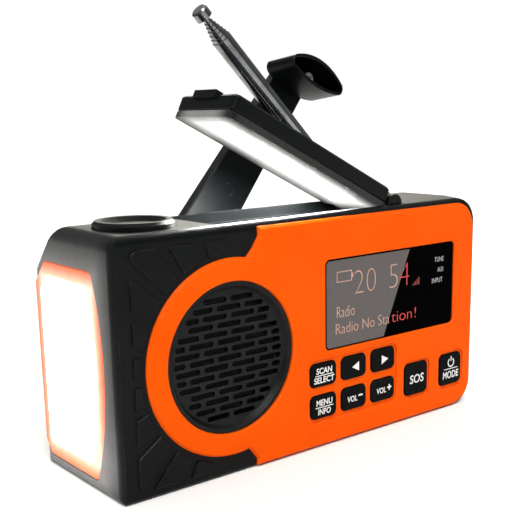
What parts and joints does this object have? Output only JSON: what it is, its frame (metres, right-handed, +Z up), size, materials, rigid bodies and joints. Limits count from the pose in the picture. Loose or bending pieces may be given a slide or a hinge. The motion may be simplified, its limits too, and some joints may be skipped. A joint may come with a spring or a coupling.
{
  "type": "emergency radio",
  "caption": "Portable box-shaped emergency radio with a front speaker, keypad and display, a hand crank, a telescopic antenna, an end torch and a hinged solar lid with a reading lamp.",
  "frame": {"origin": "middle of the flat base", "axes": "+Z up; the speaker and display face -Y; the torch is on the -X end"},
  "size_m": [0.1686, 0.0804, 0.1536],
  "materials": {
    "orange_plastic": "moulded orange plastic with a light satin grain",
    "black_plastic": "moulded black plastic, satin grain",
    "grille_plastic": "fine-grained black plastic",
    "key_rubber": "soft black rubber keys",
    "mat_rubber": "grey silicone",
    "dark_window": "dark polished acrylic",
    "display_glass": "dark segment display",
    "clear_lens": "clear polished lens",
    "lamp_diffuser": "milky white diffuser",
    "reflector_chrome": "bright vacuum-plated reflector",
    "antenna_chrome": "polished chrome tube",
    "steel": "turned steel",
    "screw_steel": "zinc-plated steel",
    "brass_bush": "turned brass",
    "gear_nylon": "natural nylon",
    "circuit_board": "green circuit board",
    "cell_wrap": "blue shrink-wrapped cell",
    "speaker_paper": "pressed black paper cone",
    "magnet_ferrite": "dark ferrite magnet",
    "solar_glass": "dark blue solar cells under a clear coat"
  },
  "bodies": {
    "radio_body": {"front_fascia": "orange_plastic", "front_housing": "black_plastic", "rear_housing": "black_plastic", "housing_screws": "screw_steel", "speaker_grille": "grille_plastic", "speaker_frame": "steel", "speaker_cone": "speaker_paper", "speaker_magnet": "magnet_ferrite", "speaker_screws": "screw_steel", "display_window": "dark_window", "display_module": "display_glass", "keypad_mat": "mat_rubber", "main_board": "circuit_board", "battery_cell": "cell_wrap", "torch_bezel": "orange_plastic", "torch_lens": "clear_lens", "torch_reflector": "reflector_chrome", "torch_board": "circuit_board", "port_block": "steel", "panel_hinge_pin": "steel", "crank_bush": "brass_bush", "dynamo": "steel", "gear_bracket": "gear_nylon", "antenna_socket": "brass_bush"},
    "lid": {"panel_base": "black_plastic", "panel_cover": "black_plastic", "solar_cell": "solar_glass", "lamp_lens": "lamp_diffuser", "lamp_board": "circuit_board"},
    "lamp_switch_body": {"lamp_switch": "black_plastic"},
    "crank_rotor": {"crank_hub": "black_plastic", "crank_shaft": "steel", "crank_gear": "gear_nylon", "crank_hinge_pin": "steel"},
    "crank_lever": {"crank_arm": "black_plastic", "knob_screw": "screw_steel"},
    "knob": {"crank_knob": "black_plastic"},
    "idler": {"idler_gear": "gear_nylon"},
    "dynamo_rotor": {"dynamo_pinion": "gear_nylon"},
    "antenna_base": {"antenna_turret": "black_plastic"},
    "antenna_main": {"antenna_knuckle": "antenna_chrome", "antenna_section_1": "antenna_chrome"},
    "flap": {"port_cover": "key_rubber"},
    "antenna_tube_2": {"antenna_section_2": "antenna_chrome"},
    "antenna_tube_3": {"antenna_section_3": "antenna_chrome"},
    "antenna_tube_4": {"antenna_section_4": "antenna_chrome"},
    "antenna_tube_5": {"antenna_section_5": "antenna_chrome"},
    "antenna_tube_6": {"antenna_section_6": "antenna_chrome"},
    "antenna_tube_7": {"antenna_section_7": "antenna_chrome"},
    "key_scan": {"button_scan": "key_rubber"},
    "key_left": {"button_left": "key_rubber"},
    "key_right": {"button_right": "key_rubber"},
    "key_menu": {"button_menu": "key_rubber"},
    "key_volume_down": {"button_volume_down": "key_rubber"},
    "key_volume_up": {"button_volume_up": "key_rubber"},
    "key_sos": {"button_sos": "key_rubber"},
    "key_power": {"button_power": "key_rubber"}
  },
  "joints": [
    {"name": "panel_hinge", "type": "hinge", "parent": "radio_body", "child": "lid", "pos_m": [0.0368, -0.0068, 0.0824], "axis": [0, 1, 0], "range_deg": [-26.5, 63.5]},
    {"name": "lamp_switch_press", "type": "slide", "parent": "radio_body", "child": "lamp_switch_body", "axis": [0, 0, -1], "range_m": [0, 0.0012], "stiffness_N_per_m": 1500},
    {"name": "crank_spin", "type": "hinge", "parent": "radio_body", "child": "crank_rotor", "pos_m": [-0.026, 0.0225, 0.058], "axis": [0, -1, 0], "continuous": true},
    {"name": "crank_flip", "type": "hinge", "parent": "crank_rotor", "child": "crank_lever", "pos_m": [-0.01953, 0.0338, 0.06425], "axis": [-0.6947, 0, 0.7193], "range_deg": [-11, 169]},
    {"name": "knob_spin", "type": "hinge", "parent": "crank_lever", "child": "knob", "pos_m": [0.04616, 0.04615, 0.12769], "axis": [0.1373, -0.9816, 0.1325], "continuous": true},
    {"name": "idler_spin", "type": "hinge", "parent": "radio_body", "child": "idler", "pos_m": [-0.01129, 0.0085, 0.04566], "axis": [0, -1, 0], "continuous": true},
    {"name": "dynamo_spin", "type": "hinge", "parent": "radio_body", "child": "dynamo_rotor", "pos_m": [0.006, 0.0065, 0.03936], "axis": [0, -1, 0], "continuous": true},
    {"name": "antenna_swivel", "type": "hinge", "parent": "radio_body", "child": "antenna_base", "pos_m": [0.0575, 0.0215, 0.077], "axis": [0, 0, 1], "range_deg": [0, 250]},
    {"name": "antenna_tilt", "type": "hinge", "parent": "antenna_base", "child": "antenna_main", "pos_m": [0.0575, 0.0215, 0.077], "axis": [0, 1, 0], "range_deg": [-45, 45]},
    {"name": "antenna_slide_1", "type": "slide", "parent": "antenna_main", "child": "antenna_tube_2", "axis": [-0.7071, 0, 0.7071], "range_m": [0, 0.066]},
    {"name": "antenna_slide_2", "type": "slide", "parent": "antenna_tube_2", "child": "antenna_tube_3", "axis": [-0.7071, 0, 0.7071], "range_m": [0, 0.066]},
    {"name": "antenna_slide_3", "type": "slide", "parent": "antenna_tube_3", "child": "antenna_tube_4", "axis": [-0.7071, 0, 0.7071], "range_m": [0, 0.066]},
    {"name": "antenna_slide_4", "type": "slide", "parent": "antenna_tube_4", "child": "antenna_tube_5", "axis": [-0.7071, 0, 0.7071], "range_m": [0, 0.066]},
    {"name": "antenna_slide_5", "type": "slide", "parent": "antenna_tube_5", "child": "antenna_tube_6", "axis": [-0.7071, 0, 0.7071], "range_m": [0, 0.066]},
    {"name": "antenna_slide_6", "type": "slide", "parent": "antenna_tube_6", "child": "antenna_tube_7", "axis": [-0.7071, 0, 0.7071], "range_m": [0, 0.066]},
    {"name": "port_cover_hinge", "type": "hinge", "parent": "radio_body", "child": "flap", "pos_m": [0.083, 0.0065, 0.0082], "axis": [0, 1, 0], "range_deg": [0, 90]},
    {"name": "button_scan_press", "type": "slide", "parent": "radio_body", "child": "key_scan", "axis": [0, 1, 0], "range_m": [0, 0.0008], "stiffness_N_per_m": 1200},
    {"name": "button_left_press", "type": "slide", "parent": "radio_body", "child": "key_left", "axis": [0, 1, 0], "range_m": [0, 0.0008], "stiffness_N_per_m": 1200},
    {"name": "button_right_press", "type": "slide", "parent": "radio_body", "child": "key_right", "axis": [0, 1, 0], "range_m": [0, 0.0008], "stiffness_N_per_m": 1200},
    {"name": "button_menu_press", "type": "slide", "parent": "radio_body", "child": "key_menu", "axis": [0, 1, 0], "range_m": [0, 0.0008], "stiffness_N_per_m": 1200},
    {"name": "button_volume_down_press", "type": "slide", "parent": "radio_body", "child": "key_volume_down", "axis": [0, 1, 0], "range_m": [0, 0.0008], "stiffness_N_per_m": 1200},
    {"name": "button_volume_up_press", "type": "slide", "parent": "radio_body", "child": "key_volume_up", "axis": [0, 1, 0], "range_m": [0, 0.0008], "stiffness_N_per_m": 1200},
    {"name": "button_sos_press", "type": "slide", "parent": "radio_body", "child": "key_sos", "axis": [0, 1, 0], "range_m": [0, 0.0008], "stiffness_N_per_m": 1200},
    {"name": "button_power_press", "type": "slide", "parent": "radio_body", "child": "key_power", "axis": [0, 1, 0], "range_m": [0, 0.0008], "stiffness_N_per_m": 1200}
  ],
  "couplings": [
    {"joint": "idler_spin", "follows": "crank_spin", "ratio": -3},
    {"joint": "dynamo_spin", "follows": "crank_spin", "ratio": 10.8}
  ]
}
